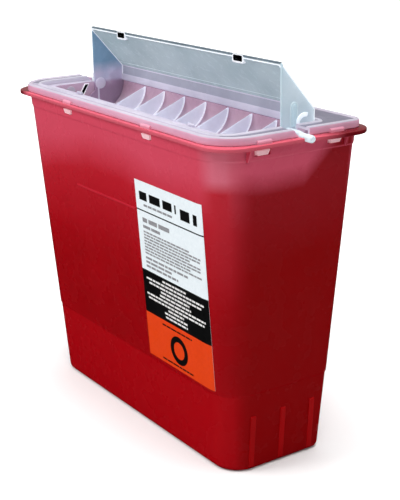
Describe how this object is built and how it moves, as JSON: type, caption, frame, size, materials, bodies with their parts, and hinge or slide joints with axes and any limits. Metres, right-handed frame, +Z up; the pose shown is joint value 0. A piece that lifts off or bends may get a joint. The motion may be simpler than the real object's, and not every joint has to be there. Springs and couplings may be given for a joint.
{
  "type": "sharps container",
  "caption": "Tapered translucent red sharps tub with a clear lid that clips over its rim, and a hinged hood whose finned drop tray tips its load into the tub.",
  "frame": {"origin": "middle of the flat base, at the centre of the whole object's plan", "axes": "+X along the width and the hinge line, -Y is the labelled front, +Z up; the hood is stored open"},
  "size_m": [0.29, 0.12, 0.2743],
  "materials": {
    "tub_red": "translucent red moulded polypropylene, satin outside",
    "lid_natural": "natural frosted polypropylene, satin with glossy edges",
    "hood_clear": "hazy clear polypropylene, glossy",
    "label_paper": "coated paper label with plain printed bands"
  },
  "bodies": {
    "container": {"container_body": "tub_red", "lid_cover": "lid_natural", "front_label": "label_paper", "snap_tab_front_left": "lid_natural", "snap_tab_front_right": "lid_natural", "snap_tab_back_left": "lid_natural", "snap_tab_back_right": "lid_natural", "snap_tab_left_front": "lid_natural", "snap_tab_left_back": "lid_natural", "snap_tab_right_front": "lid_natural", "snap_tab_right_back": "lid_natural", "pivot_bearing_left": "lid_natural", "pivot_bearing_right": "lid_natural", "hood_latch_left": "lid_natural", "hood_latch_right": "lid_natural"},
    "door": {"door_hood": "hood_clear", "drop_tray": "hood_clear", "hinge_column_left": "hood_clear", "hinge_column_right": "hood_clear", "pivot_pin_left": "hood_clear", "pivot_pin_right": "hood_clear", "tray_fin_1": "hood_clear", "tray_fin_2": "hood_clear", "tray_fin_3": "hood_clear", "tray_fin_4": "hood_clear", "tray_fin_5": "hood_clear", "tray_fin_6": "hood_clear", "tray_fin_7": "hood_clear"}
  },
  "joints": [
    {"name": "door_hinge", "type": "hinge", "parent": "container", "child": "door", "pos_m": [0, 0.0068, 0.2295], "axis": [1, 0, 0], "range_deg": [0, 79]}
  ]
}
